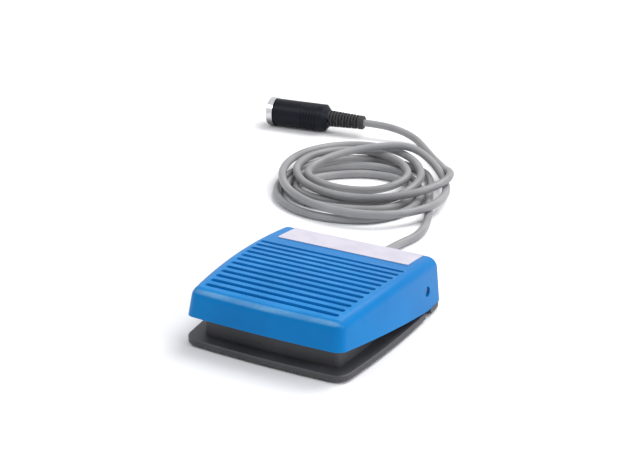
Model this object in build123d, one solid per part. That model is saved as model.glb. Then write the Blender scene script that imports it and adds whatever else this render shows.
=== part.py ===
from build123d import *
import math
import os

# Foot pedal switch: a moulded pedal hinged at its rear on a low base, with a snap-action
# switch inside and a coiled cord that ends in a round plug.
# Millimetres. X runs across the pedal, the raised front edge faces -Y, +Z is up and the
# feet stand on Z = 0. Everything is placed as it rests with nobody's foot on it.

# Base
base_front_y = -50.6
base_rear_y = 50.6
base_half_front = 43.4
base_half_rear = 46.8
base_side_bow = 2.9
base_widest_y = 16.4
base_front_bow = 1.4
base_rear_bow = 0.6
base_front_corner_r = 7.5
base_rear_corner_r = 4.5
flange_thickness = 2.9
flange_edge_r = 0.7
floor_thickness = 2.0

# Raised wall of the base, inside the pedal
plinth_front_inset = 8.0
plinth_rear_inset = 6.7
plinth_front_side_inset = 6.1
plinth_widest_side_inset = 8.8
plinth_rear_side_inset = 8.2
plinth_widest_forward = 7.0
plinth_front_bow = 1.0
plinth_corner_r = 3.0
plinth_top_z = 15.5
plinth_wall = 2.2
gusset_thickness = 1.6
gusset_length = 7.0

# Rubber feet
foot_standing_height = 1.4
foot_r = 6.0
foot_pocket_depth = 0.8
foot_front_side_inset = 13.4
foot_front_inset = 17.0
foot_rear_side_inset = 15.8
foot_rear_inset = 18.2

# Hinge
pivot_from_plinth_rear = 10.0
pivot_z = 14.7
pin_r = 2.3
pin_clearance = 0.05
pin_inner_recess = 0.3
pin_recess = 0.3
pin_countersink_r = 2.65
ear_half_width = 5.5
ear_thickness = 5.0
hinge_boss_r = 4.6
hinge_boss_gap = 0.8
hinge_notch_width = 6.6
hinge_notch_depth = 7.0
hinge_notch_offset = -0.5

# Pedal
pedal_travel = 8.0
pedal_seat_gap = 0.3
pedal_front_overhang = 2.6
pedal_rear_setback = 2.7
pedal_side_inset = 0.2
pedal_front_bow = 1.4
pedal_front_corner_r = 5.5
pedal_front_draft = 12.0
pedal_side_draft = 5.5
pedal_rear_draft = 0.5
pedal_crown_y = -11.6
pedal_crown_z = 31.1
pedal_crown_r = 486.0
pedal_top_edge_r = 5.5
pedal_rear_edge_r = 0.8
pedal_inner_edge_r = 0.3
pedal_cut_beyond = 12.0
pedal_cut_bow = 0.1
pedal_cut_corner_r = 1.0
pedal_wall = 2.2
pedal_rib_depth = 3.0
pedal_rib_thickness = 1.6
pedal_rib_x = 13.0
pedal_rib_front_inset = 20.0
pedal_rib_rear_inset = 4.5

# Tread grooves across the pedal
groove_count = 12
groove_rear_gap = 9.4
groove_front_inset = 10.5
groove_side_margin = 7.0
groove_width = 2.7
groove_depth = 1.2
groove_draft = 22.0
groove_clear = 0.3

# Plain plate behind the tread
plate_rear_margin = 1.0
plate_length = 19.1
plate_side_margin = 9.4
plate_off_centre = 1.1
plate_thickness = 0.4
plate_corner_r = 0.8

# Return springs
spring_side_inset = 15.2
spring_front_inset = 32.0
spring_mean_r = 3.8
spring_wire_r = 0.55
spring_turns = 6.5
spring_end_gap = 0.05
spring_top_z = 25.4
spring_cup_r = 6.2
spring_cup_clearance = 0.3
spring_cup_height = 3.0
spring_post_height = 6.0
spring_nub_height = 3.0
spring_seat_r = 5.6

# Snap-action switch
switch_length = 19.8
switch_width = 6.4
switch_height = 10.2
switch_from_cord = 25.0
switch_bottom_z = 9.0
switch_split_x = 1.6
switch_edge_r = 0.35
switch_hole_spacing = 9.5
switch_hole_r = 1.1
switch_hole_height = 3.0
terminal_length = 3.9
terminal_width = 3.2
terminal_thickness = 0.5
terminal_pitch = 7.3
lug_thickness = 1.1
lug_length = 2.8
lug_height = 2.9
bracket_thickness = 3.0
bracket_gap = 0.15
bracket_foot = 3.0

# Switch lever and plunger
lever_pivot_back = 1.8
lever_pivot_height = 1.9
lever_rest_angle = 17.0
lever_thickness = 0.4
lever_width = 3.6
lever_reach = 16.5
lever_eye_r = 1.1
lever_pin_r = 0.5
lever_pin_clearance = 0.05
plunger_from_pivot = 3.0
plunger_r = 1.2
plunger_clearance = 0.05
plunger_length = 4.2
plunger_gap = 0.5
plunger_dome_r = 0.7
plunger_bore_depth = 4.2
striker_from_switch_front = 5.0
striker_r = 2.6
striker_tip_r = 2.3
striker_gap = 0.5

# Fasteners
switch_screw_r = 1.0
switch_screw_head_r = 1.9
switch_screw_head_height = 1.3
switch_screw_bite = 2.6
clamp_screw_r = 1.25
clamp_screw_head_r = 2.4
clamp_screw_head_height = 1.6
clamp_screw_bite = 5.0
screw_clearance = 0.05
screw_hole_spare = 0.5
slot_width = 0.6
slot_depth = 0.7

# Cord
cord_r = 2.4
cord_axis_z = 9.6
cord_inner_past_clamp = 6.5
cord_floor_gap = 0.1
cord_straight = 9.0

# Cord gland in the rear wall
gland_flange_r = 5.0
gland_flange_thickness = 1.6
gland_neck_r = 3.8
gland_seat_gap = 0.1
gland_sleeve_length = 20.0
gland_root_r = 4.2
gland_tip_r = 3.4
gland_groove_count = 5
gland_groove_depth = 0.6
gland_post_margin = 3.6
pedal_notch_margin = 1.2

# Cord clamp inside the base
clamp_from_plinth_rear = 14.0
clamp_length = 6.0
clamp_half_width = 9.4
clamp_post_r = 2.7
clamp_screw_x = 6.4
clamp_bar_thickness = 2.0
clamp_clearance = 0.05
clamp_saddle_gap = 0.1

# Conductors between the cord and the switch
wire_r = 0.6
wire_end_gap = 0.3

# Coil of cord on the floor behind the pedal
coil_base_z = 0.15
coil_x = -65.5
coil_from_gland = 114.0
coil_outer_a = 66.5
coil_outer_b = 55.8
coil_inner_a = 40.0
coil_inner_b = 29.0
coil_tilt = 120.3
coil_height = 16.4
coil_edge_r = 4.0

# Round plug, measured from the cord's end of its boot
plug_x = -110.6
plug_from_gland = 204.4
plug_heading = 186.1
plug_floor_gap = 0.05
boot_length = 25.1
boot_tip_r = 4.7
boot_root_r = 5.6
boot_collar_length = 3.6
boot_tip_chamfer = 0.5
boot_rib_count = 10
boot_rib_depth = 1.3
boot_gap_share = 0.4
boot_flank_share = 0.1
boot_slot_width = 2.6
barrel_shoulder_length = 3.1
barrel_neck_r = 5.9
barrel_r = 9.2
barrel_length = 36.4
barrel_end_r = 0.6
grip_ring_count = 6
grip_ring_pitch = 2.1
grip_ring_start = 4.5
grip_ring_depth = 0.35
grip_ring_width = 0.8
shell_r = 8.4
shell_wall = 0.9
shell_seat_depth = 14.0
shell_rim_r = 9.8
shell_rim_length = 4.6
shell_rim_chamfer = 0.4
shell_fit = 0.05
insert_thickness = 11.0
insert_inset = 1.5
contact_count = 5
contact_r = 0.75
contact_circle_r = 4.6
contact_arc = 180.0
contact_reach = 4.8
contact_root = 9.0

# Plan sizes that follow from the base's own
base_half_widest = (base_half_front + base_half_rear) / 2 + base_side_bow
plinth_front_y = base_front_y + plinth_front_inset
plinth_rear_y = base_rear_y - plinth_rear_inset
plinth_widest_y = base_widest_y - plinth_widest_forward
plinth_half_front = base_half_front - plinth_front_side_inset
plinth_half_widest = base_half_widest - plinth_widest_side_inset
plinth_half_rear = base_half_rear - plinth_rear_side_inset
foot_front_x = base_half_front - foot_front_side_inset
foot_front_y = base_front_y + foot_front_inset
foot_rear_x = base_half_rear - foot_rear_side_inset
foot_rear_y = base_rear_y - foot_rear_inset
pivot_y = plinth_rear_y - pivot_from_plinth_rear
pin_inner_x = plinth_half_rear - ear_thickness + pin_inner_recess
pedal_front_y = base_front_y - pedal_front_overhang
pedal_rear_y = base_rear_y - pedal_rear_setback
pedal_widest_y = base_widest_y
pedal_half_front = base_half_front - pedal_side_inset
pedal_half_widest = base_half_widest - pedal_side_inset
pedal_half_rear = base_half_rear - pedal_side_inset
pedal_rib_front_y = base_front_y + pedal_rib_front_inset
pedal_rib_rear_y = plinth_rear_y - pedal_rib_rear_inset
plate_rear_y = pedal_rear_y - plate_rear_margin
plate_front_y = plate_rear_y - plate_length
plate_half_width = pedal_half_rear - plate_side_margin
groove_rear_y = plate_front_y - groove_rear_gap
groove_front_y = base_front_y + groove_front_inset
groove_pitch = (groove_rear_y - groove_front_y) / (groove_count - 1)
groove_half_rear = pedal_half_widest - groove_side_margin
groove_half_front = pedal_half_front - groove_side_margin
spring_x = plinth_half_widest - spring_side_inset
spring_y = base_front_y + spring_front_inset
clamp_y = plinth_rear_y - clamp_from_plinth_rear
cord_inner_end_y = clamp_y - cord_inner_past_clamp
switch_front_y = cord_inner_end_y - switch_from_cord
striker_y = switch_front_y + striker_from_switch_front

# Heights and places that follow from the sizes above
flange_bottom_z = foot_standing_height
flange_top_z = flange_bottom_z + flange_thickness
floor_top_z = flange_bottom_z + floor_thickness
pedal_seat_z = flange_top_z + pedal_seat_gap
hub_drop = pivot_z - pedal_seat_z
edge_kink_y = pivot_y - hub_drop * math.tan(math.radians(pedal_travel / 2))
switch_rear_y = switch_front_y + switch_length
switch_top_z = switch_bottom_z + switch_height
switch_mid_y = (switch_front_y + switch_rear_y) / 2
switch_hole_z = switch_bottom_z + switch_hole_height
lever_pivot_y = switch_rear_y - lever_pivot_back
lever_pivot_z = switch_top_z + lever_pivot_height
plunger_y = lever_pivot_y - plunger_from_pivot
lever_slope = math.tan(math.radians(lever_rest_angle))
lever_under_drop = lever_eye_r / math.cos(math.radians(lever_rest_angle))
lever_top_drop = (lever_eye_r - lever_thickness) / math.cos(math.radians(lever_rest_angle))
lever_rise_at_striker = (lever_pivot_y - striker_y) * lever_slope
striker_tip_z = lever_pivot_z + lever_rise_at_striker - lever_top_drop + striker_gap
plunger_top_z = lever_pivot_z + plunger_from_pivot * lever_slope - lever_under_drop - plunger_gap
gland_wall_inner_y = plinth_rear_y - plinth_wall
gland_end_y = plinth_rear_y + gland_seat_gap + gland_flange_thickness + gland_sleeve_length
coil_y = gland_end_y + coil_from_gland
plug_y = gland_end_y + plug_from_gland
cord_floor_z = cord_r + cord_floor_gap
clamp_post_top_z = cord_axis_z + cord_r
plug_axis_z = shell_rim_r + plug_floor_gap
barrel_end_x = boot_length + barrel_shoulder_length + barrel_length


def crown_height(y, inset=0.0):
    """Height of the pedal's curved top at y, lowered by the inset."""
    radius = pedal_crown_r - inset
    return pedal_crown_z - pedal_crown_r + math.sqrt(radius**2 - (y - pedal_crown_y) ** 2)


def cylinder_x(x_from, x_to, y, z, radius):
    """Cylinder that lies along X."""
    middle = (x_from + x_to) / 2
    return Pos(middle, y, z) * Rot(0, 90, 0) * Cylinder(radius, abs(x_to - x_from))


def cylinder_y(y_from, y_to, x, z, radius):
    """Cylinder that lies along Y."""
    middle = (y_from + y_to) / 2
    return Pos(x, middle, z) * Rot(90, 0, 0) * Cylinder(radius, abs(y_to - y_from))


def cylinder_z(x, y, z_from, z_to, radius):
    """Upright cylinder."""
    return Pos(x, y, (z_from + z_to) / 2) * Cylinder(radius, abs(z_to - z_from))


def block(x_from, x_to, y_from, y_to, z_from, z_to):
    """Box between two corners."""
    size = (abs(x_to - x_from), abs(y_to - y_from), abs(z_to - z_from))
    middle = ((x_from + x_to) / 2, (y_from + y_to) / 2, (z_from + z_to) / 2)
    return Pos(*middle) * Box(*size)


def mirrored_pair(solid):
    """The solid and its mirror image across the middle plane."""
    return [solid, mirror(solid, about=Plane.YZ)]


def plan_outline(front, widest, rear, front_bow, rear_bow, front_r, rear_r):
    """Bowed four-sided outline; each of front, widest and rear is a pair of half width and Y."""
    half_front, front_y = front
    half_widest, widest_y = widest
    half_rear, rear_y = rear
    right_front = (half_front, front_y + front_bow)
    right_rear = (half_rear, rear_y - rear_bow)
    left_front = (-half_front, front_y + front_bow)
    left_rear = (-half_rear, rear_y - rear_bow)
    edges = [
        ThreePointArc(left_front, (0, front_y), right_front),
        ThreePointArc(right_front, (half_widest, widest_y), right_rear),
        ThreePointArc(right_rear, (0, rear_y), left_rear),
        ThreePointArc(left_rear, (-half_widest, widest_y), left_front),
    ]
    sketch = make_face(edges)
    sketch = fillet(sketch.vertices().group_by(Axis.Y)[0], front_r)
    return fillet(sketch.vertices().group_by(Axis.Y)[-1], rear_r)


def plinth_form(inset, z_from, z_to):
    """Upright form of the base's inner wall, moved in by the inset."""
    outline = plan_outline(
        (plinth_half_front - inset, plinth_front_y + inset),
        (plinth_half_widest - inset, plinth_widest_y),
        (plinth_half_rear - inset, plinth_rear_y - inset),
        plinth_front_bow,
        base_rear_bow,
        plinth_corner_r - inset,
        plinth_corner_r - inset,
    )
    return extrude(Pos(0, 0, z_from) * outline, z_to - z_from)


def hinge_ear():
    """Upright ear on the right of the base that carries a hinge pin."""
    outer_x = plinth_half_rear
    inner_x = outer_x - ear_thickness
    ear_front_y = pivot_y - ear_half_width
    ear_rear_y = pivot_y + ear_half_width
    upright = block(inner_x, outer_x, ear_front_y, ear_rear_y, floor_top_z, pivot_z)
    return upright + cylinder_x(inner_x, outer_x, pivot_y, pivot_z, ear_half_width)


def gland_post():
    """Raised part of the rear wall round the cord's gland."""
    post_r = gland_neck_r + gland_post_margin
    outer_y = plinth_rear_y - base_rear_bow
    post = block(-post_r, post_r, gland_wall_inner_y, outer_y, floor_top_z, cord_axis_z)
    return post + cylinder_y(gland_wall_inner_y, outer_y, 0, cord_axis_z, post_r)


def spring_seat():
    """Ring and centre post that hold the foot of the right-hand spring."""
    bore_r = spring_mean_r + spring_wire_r + spring_cup_clearance
    post_r = spring_mean_r - spring_wire_r - spring_cup_clearance
    cup_top_z = floor_top_z + spring_cup_height
    ring = cylinder_z(spring_x, spring_y, floor_top_z, cup_top_z, spring_cup_r)
    ring -= cylinder_z(spring_x, spring_y, floor_top_z, cup_top_z, bore_r)
    return ring + cylinder_z(spring_x, spring_y, floor_top_z, floor_top_z + spring_post_height, post_r)


def switch_bracket():
    """Moulded wall that the switch is screwed to, with a foot along its base."""
    inner_x = switch_width / 2 + bracket_gap
    outer_x = inner_x + bracket_thickness
    foot_x = outer_x + bracket_foot
    wall = block(inner_x, outer_x, switch_front_y, switch_rear_y, floor_top_z, switch_top_z)
    foot = block(inner_x, foot_x, switch_front_y, switch_rear_y, floor_top_z, flange_top_z)
    bracket = wall + foot
    hole_r = switch_screw_r + screw_clearance
    for y in switch_hole_places():
        bracket -= cylinder_x(inner_x - 1, outer_x + 1, y, switch_hole_z, hole_r)
    return bracket


def switch_hole_places():
    """Y of the switch's two mounting holes."""
    return [switch_mid_y - switch_hole_spacing / 2, switch_mid_y + switch_hole_spacing / 2]


def clamp_saddle():
    """Saddle under the cord, with a post for each clamp screw."""
    front_y = clamp_y - clamp_length / 2
    rear_y = clamp_y + clamp_length / 2
    saddle_top_z = cord_axis_z - cord_r / 2
    saddle = block(-clamp_screw_x, clamp_screw_x, front_y, rear_y, floor_top_z, saddle_top_z)
    for x in (-clamp_screw_x, clamp_screw_x):
        saddle += cylinder_z(x, clamp_y, floor_top_z, clamp_post_top_z, clamp_post_r)
    saddle -= cylinder_y(front_y - 1, rear_y + 1, 0, cord_axis_z, cord_r + clamp_saddle_gap)
    for x in (-clamp_screw_x, clamp_screw_x):
        hole_bottom_z = clamp_post_top_z - clamp_screw_bite - screw_hole_spare
        hole_r = clamp_screw_r + screw_clearance
        saddle -= cylinder_z(x, clamp_y, hole_bottom_z, clamp_post_top_z, hole_r)
    return saddle


def foot_places():
    """Centres of the four feet."""
    return [
        (-foot_front_x, foot_front_y),
        (foot_front_x, foot_front_y),
        (-foot_rear_x, foot_rear_y),
        (foot_rear_x, foot_rear_y),
    ]


def make_base_housing():
    """Moulded base: flange, open-topped tub, hinge ears, and seats for what it holds."""
    outline = plan_outline(
        (base_half_front, base_front_y),
        (base_half_widest, base_widest_y),
        (base_half_rear, base_rear_y),
        base_front_bow,
        base_rear_bow,
        base_front_corner_r,
        base_rear_corner_r,
    )
    flange = extrude(Pos(0, 0, flange_bottom_z) * outline, flange_thickness)
    flange = fillet(flange.faces().sort_by(Axis.Z)[-1].edges(), flange_edge_r)
    notch = block(
        base_half_widest - hinge_notch_depth,
        base_half_widest + 1,
        pivot_y + hinge_notch_offset - hinge_notch_width / 2,
        pivot_y + hinge_notch_offset + hinge_notch_width / 2,
        flange_bottom_z - 1,
        flange_top_z + 1,
    )
    for side in mirrored_pair(notch):
        flange -= side
    tub = flange + plinth_form(0, flange_top_z, plinth_top_z)
    tub -= plinth_form(plinth_wall, floor_top_z, plinth_top_z)
    gusset_x = (-plinth_half_front / 2, 0, plinth_half_front / 2)
    gusset_front_y = plinth_front_y + plinth_wall / 2
    for x in gusset_x:
        tub += block(
            x - gusset_thickness / 2,
            x + gusset_thickness / 2,
            gusset_front_y,
            gusset_front_y + gusset_length,
            floor_top_z,
            plinth_top_z - plinth_wall,
        )
    for piece in mirrored_pair(hinge_ear()) + mirrored_pair(spring_seat()):
        tub += piece
    tub += gland_post()
    tub += switch_bracket()
    tub += clamp_saddle()
    tub -= cylinder_x(-base_half_widest, base_half_widest, pivot_y, pivot_z, pin_r)
    tub -= cylinder_y(gland_wall_inner_y - 1, plinth_rear_y + 1, 0, cord_axis_z, gland_neck_r)
    for x, y in foot_places():
        tub -= cylinder_z(x, y, flange_bottom_z - 1, flange_bottom_z + foot_pocket_depth, foot_r)
    return tub


def make_rubber_feet():
    """Four round feet that sit in pockets under the base."""
    feet = []
    for x, y in foot_places():
        foot = cylinder_z(x, y, 0, foot_standing_height + foot_pocket_depth, foot_r)
        feet.append(fillet(foot.edges().group_by(Axis.Z)[0], foot_standing_height / 3))
    return feet


def pin_outer_x():
    """X of the hinge pin's outer end, recessed behind the pedal's side at the pivot's height."""
    lean = (pivot_z - pedal_seat_z) * math.tan(math.radians(pedal_side_draft))
    return pedal_half_rear - lean - pin_recess


def make_hinge_pin(side):
    """Short steel pin, pressed into the base's ear; side is 1 on the right and -1 on the left."""
    return cylinder_x(side * pin_inner_x, side * pin_outer_x(), pivot_y, pivot_z, pin_r)


def pedal_form(inset):
    """The pedal's outer form, or the hollow inside it when the inset is the wall."""
    beyond = pedal_cut_beyond
    height = pedal_crown_z + 2 - pedal_seat_z
    outlines = []
    for rise in (0, height):
        side_in = inset + rise * math.tan(math.radians(pedal_side_draft))
        front_in = inset + rise * math.tan(math.radians(pedal_front_draft))
        outline = plan_outline(
            (pedal_half_front - side_in, pedal_front_y + front_in),
            (pedal_half_widest - side_in, pedal_widest_y),
            (pedal_half_rear - side_in, pedal_rear_y + beyond),
            pedal_front_bow,
            pedal_cut_bow,
            pedal_front_corner_r - inset,
            pedal_cut_corner_r,
        )
        outlines.append(Pos(0, 0, pedal_seat_z + rise) * outline)
    sides = loft(outlines, ruled=True)
    far_front = pedal_front_y - beyond
    top_start = (far_front, crown_height(far_front, inset))
    rear_low = (pedal_rear_y - inset, pedal_seat_z)
    rear_lean = math.tan(math.radians(pedal_rear_draft))
    rear_top_z = crown_height(pedal_rear_y, inset)
    rear_top_y = pedal_rear_y - inset - (rear_top_z - pedal_seat_z) * rear_lean
    rear_top = (rear_top_y, crown_height(rear_top_y, inset))
    crown_mid_y = (far_front + rear_top_y) / 2
    edge_front_z = pedal_seat_z
    if inset == 0:
        edge_front_z += (edge_kink_y - far_front) * math.tan(math.radians(pedal_travel))
    profile = make_face(
        [
            Line(rear_low, (edge_kink_y, pedal_seat_z)),
            Line((edge_kink_y, pedal_seat_z), (far_front, edge_front_z)),
            Line((far_front, edge_front_z), top_start),
            ThreePointArc(top_start, (crown_mid_y, crown_height(crown_mid_y, inset)), rear_top),
            Line(rear_top, rear_low),
        ]
    )
    form = sides & extrude(Plane.YZ * profile, base_half_widest + beyond, both=True)
    top_edges = form.faces().sort_by(Axis.Z)[-1].edges()
    rear_edge = top_edges.sort_by(Axis.Y)[-1]
    form = fillet([edge for edge in top_edges if edge != rear_edge], pedal_top_edge_r - inset)
    rear_face = form.faces().sort_by(Axis.Y)[-1]
    rear_edges = rear_face.edges().sort_by(Axis.Z)[1:]
    return fillet(rear_edges, max(pedal_rear_edge_r - inset, pedal_inner_edge_r))


def tread_grooves():
    """Cutters for the round-ended grooves across the pedal, which narrow towards the front."""
    cutters = []
    widen = 2 * groove_clear * math.tan(math.radians(groove_draft))
    depth = groove_depth + groove_clear
    for index in range(groove_count):
        share = index / (groove_count - 1)
        y = groove_rear_y - index * groove_pitch
        half = groove_half_rear + (groove_half_front - groove_half_rear) * share
        normal = (0, (y - pedal_crown_y) / pedal_crown_r, 1)
        surface = Plane(origin=(0, y, crown_height(y)), x_dir=(1, 0, 0), z_dir=normal)
        slot = SlotOverall(2 * half + widen, groove_width + widen)
        cutter = extrude(surface.offset(groove_clear) * slot, -depth, taper=groove_draft)
        cutters.append(cutter)
    return cutters


def make_pedal_shell():
    """Hollow pedal with grooves on top, hinge bosses, spring seats, ribs and a striker inside."""
    outer = pedal_form(0)
    shell = outer - pedal_form(pedal_wall)
    ceiling_z = crown_height(pedal_crown_y) + 1
    inside = []
    boss_start_x = plinth_half_rear + hinge_boss_gap
    inside += mirrored_pair(cylinder_x(boss_start_x, base_half_widest, pivot_y, pivot_z, hinge_boss_r))
    seat = cylinder_z(spring_x, spring_y, spring_top_z, ceiling_z, spring_seat_r)
    nub_r = spring_mean_r - spring_wire_r - spring_cup_clearance
    seat += cylinder_z(spring_x, spring_y, spring_top_z - spring_nub_height, ceiling_z, nub_r)
    inside += mirrored_pair(seat)
    striker = cylinder_z(0, striker_y, striker_tip_z, ceiling_z, striker_r)
    inside.append(fillet(striker.edges().group_by(Axis.Z)[0], striker_tip_r))
    rib_bottom_z = crown_height(pedal_rib_rear_y) - pedal_wall - pedal_rib_depth
    rib = block(
        pedal_rib_x,
        pedal_rib_x + pedal_rib_thickness,
        pedal_rib_front_y,
        pedal_rib_rear_y,
        rib_bottom_z,
        ceiling_z,
    )
    inside += mirrored_pair(rib)
    for piece in inside:
        shell += piece & outer
    for cutter in tread_grooves():
        shell -= cutter
    reach = base_half_widest + 1
    for side in (-1, 1):
        shell -= cylinder_x(0, side * reach, pivot_y, pivot_z, pin_r + pin_clearance)
        shell -= cylinder_x(side * pin_outer_x(), side * reach, pivot_y, pivot_z, pin_countersink_r)
    notch_r = gland_root_r + pedal_notch_margin
    notch_from_y = plinth_rear_y
    notch_to_y = pedal_rear_y + 2
    shell -= cylinder_y(notch_from_y, notch_to_y, 0, cord_axis_z, notch_r)
    shell -= block(-notch_r, notch_r, notch_from_y, notch_to_y, 0, cord_axis_z)
    return shell


def make_label_plate():
    """Thin plain plate that follows the pedal's top behind the grooves."""
    front = (plate_front_y, crown_height(plate_front_y))
    rear = (plate_rear_y, crown_height(plate_rear_y))
    mid_y = (plate_front_y + plate_rear_y) / 2
    band = make_face(
        [
            ThreePointArc(front, (mid_y, crown_height(mid_y)), rear),
            Line(rear, (plate_rear_y, crown_height(plate_rear_y, -plate_thickness))),
            ThreePointArc(
                (plate_rear_y, crown_height(plate_rear_y, -plate_thickness)),
                (mid_y, crown_height(mid_y, -plate_thickness)),
                (plate_front_y, crown_height(plate_front_y, -plate_thickness)),
            ),
            Line((plate_front_y, crown_height(plate_front_y, -plate_thickness)), front),
        ]
    )
    plate = extrude(Plane.YZ * band, plate_half_width, both=True)
    plate = fillet(plate.edges().filter_by(Axis.Z, tolerance=10), plate_corner_r)
    return Pos(plate_off_centre, 0, 0) * plate


def make_return_springs():
    """Two open-wound compression springs, left and right."""
    first_z = floor_top_z + spring_wire_r + spring_end_gap
    height = spring_top_z - spring_wire_r - spring_end_gap - first_z
    path = Helix(pitch=height / spring_turns, height=height, radius=spring_mean_r)
    section = Plane(origin=path @ 0, z_dir=path % 0) * Circle(spring_wire_r)
    spring = sweep(section, path=path, is_frenet=True)
    return [Pos(x, spring_y, first_z) * spring for x in (-spring_x, spring_x)]


def switch_body():
    """The closed switch before it is parted into case and cover."""
    body = block(
        -switch_width / 2,
        switch_width / 2,
        switch_front_y,
        switch_rear_y,
        switch_bottom_z,
        switch_top_z,
    )
    body = fillet(body.edges().filter_by(Axis.X), switch_edge_r)
    lug_inner_x = switch_width / 2 - lug_thickness
    for side in (-1, 1):
        lug = block(
            side * lug_inner_x,
            side * switch_width / 2,
            lever_pivot_y - lug_length / 2,
            lever_pivot_y + lug_length / 2,
            switch_top_z - 1,
            switch_top_z + lug_height,
        )
        body += fillet(lug.edges().filter_by(Axis.X).group_by(Axis.Z)[-1], lug_length / 3)
    for y in switch_hole_places():
        body -= cylinder_x(-switch_width, switch_width, y, switch_hole_z, switch_hole_r)
    body -= cylinder_x(-switch_width, switch_width, lever_pivot_y, lever_pivot_z, lever_pin_r)
    bore_bottom_z = switch_top_z - plunger_bore_depth
    bore_r = plunger_r + plunger_clearance
    return body - cylinder_z(0, plunger_y, bore_bottom_z, switch_top_z + 1, bore_r)


def switch_half_space(x_from, x_to):
    """Space that holds all of the switch between two X values."""
    top_z = switch_top_z + switch_height
    return block(x_from, x_to, switch_front_y - 1, switch_rear_y + 1, 0, top_z)


def make_switch_case():
    """Left and larger half of the switch, with the plunger's bore."""
    return switch_body() & switch_half_space(-switch_width, switch_split_x)


def make_switch_cover():
    """Right-hand cover of the switch."""
    return switch_body() & switch_half_space(switch_split_x, switch_width)


def terminal_places():
    """Y of the three terminals under the switch."""
    return [switch_mid_y - terminal_pitch, switch_mid_y, switch_mid_y + terminal_pitch]


def make_switch_terminals():
    """Three flat solder terminals under the switch."""
    terminals = []
    for y in terminal_places():
        terminal = block(
            -terminal_thickness / 2,
            terminal_thickness / 2,
            y - terminal_width / 2,
            y + terminal_width / 2,
            switch_bottom_z - terminal_length,
            switch_bottom_z,
        )
        low_edges = terminal.edges().filter_by(Axis.X).group_by(Axis.Z)[0]
        terminals.append(fillet(low_edges, terminal_width / 4))
    return terminals


def slotted_screw(radius, head_r, head_height, length):
    """Cheese-head screw along +Z, with the underside of its head at the origin."""
    head = Pos(0, 0, head_height / 2) * Cylinder(head_r, head_height)
    head = fillet(head.edges().group_by(Axis.Z)[-1], head_height / 3)
    head -= Pos(0, 0, head_height) * Box(3 * head_r, slot_width, 2 * slot_depth)
    return head + Pos(0, 0, -length / 2) * Cylinder(radius, length)


def make_switch_screws():
    """Two screws through the switch into its bracket."""
    length = switch_width + bracket_gap + switch_screw_bite
    screw = slotted_screw(switch_screw_r, switch_screw_head_r, switch_screw_head_height, length)
    places = [(-switch_width / 2, y, switch_hole_z) for y in switch_hole_places()]
    return [Pos(*place) * Rot(0, -90, 0) * screw for place in places]


def make_lever_pin():
    """Pin that the switch's lever turns on."""
    return cylinder_x(-switch_width / 2, switch_width / 2, lever_pivot_y, lever_pivot_z, lever_pin_r)


def make_switch_lever():
    """Spring-steel lever whose strip runs off the underside of its rolled eye."""
    half = lever_width / 2
    strip = block(-half, half, -lever_reach, 0, -lever_eye_r, lever_thickness - lever_eye_r)
    tip_edges = strip.edges().filter_by(Axis.Z).group_by(Axis.Y)[0]
    strip = fillet(tip_edges, lever_width / 4)
    lever = strip + cylinder_x(-half, half, 0, 0, lever_eye_r)
    lever -= cylinder_x(-lever_width, lever_width, 0, 0, lever_pin_r + lever_pin_clearance)
    return Pos(0, lever_pivot_y, lever_pivot_z) * Rot(-lever_rest_angle, 0, 0) * lever


def make_switch_plunger():
    """Round plunger under the lever, with a domed top."""
    plunger = cylinder_z(0, plunger_y, plunger_top_z - plunger_length, plunger_top_z, plunger_r)
    return fillet(plunger.edges().group_by(Axis.Z)[-1], plunger_dome_r)


def make_cord_gland():
    """Ribbed strain-relief sleeve, snapped into the rear wall of the base."""
    inner_y = gland_wall_inner_y - gland_seat_gap - gland_flange_thickness
    outer_y = plinth_rear_y + gland_seat_gap
    sleeve_y = outer_y + gland_flange_thickness
    profile = [
        (inner_y, cord_r),
        (inner_y, gland_flange_r),
        (inner_y + gland_flange_thickness, gland_flange_r),
        (inner_y + gland_flange_thickness, gland_neck_r),
        (outer_y, gland_neck_r),
        (outer_y, gland_flange_r),
        (sleeve_y, gland_flange_r),
        (sleeve_y, gland_root_r),
    ]
    pitch = gland_sleeve_length / (gland_groove_count + 1)
    slope = (gland_tip_r - gland_root_r) / gland_sleeve_length
    groove_width_y = pitch / 3
    for index in range(gland_groove_count):
        along = pitch * (index + 0.8)
        radius = gland_root_r + slope * along
        floor_r = radius - gland_groove_depth
        profile.append((sleeve_y + along, radius))
        profile.append((sleeve_y + along, floor_r))
        profile.append((sleeve_y + along + groove_width_y, floor_r))
        profile.append((sleeve_y + along + groove_width_y, radius + slope * groove_width_y))
    profile.append((gland_end_y, gland_tip_r))
    profile.append((gland_end_y, cord_r))
    section = make_face(Polyline(*profile, close=True))
    turned = revolve(section, axis=Axis.X)
    return Pos(0, 0, cord_axis_z) * Rot(0, 0, 90) * turned


def make_cord_inner():
    """Straight length of cord inside the base and through its gland."""
    return cylinder_y(cord_inner_end_y, gland_end_y, 0, cord_axis_z, cord_r)


def make_cord_clamp():
    """Bar that holds the cord down on its saddle."""
    bottom_z = clamp_post_top_z + clamp_clearance
    half = clamp_half_width
    bar = block(
        -half,
        half,
        clamp_y - clamp_length / 2,
        clamp_y + clamp_length / 2,
        bottom_z,
        bottom_z + clamp_bar_thickness,
    )
    bar = fillet(bar.edges().filter_by(Axis.Z), clamp_length / 4)
    for x in (-clamp_screw_x, clamp_screw_x):
        hole_r = clamp_screw_r + screw_clearance
        bar -= cylinder_z(x, clamp_y, bottom_z - 1, bottom_z + 2 * clamp_bar_thickness, hole_r)
    return bar


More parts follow.
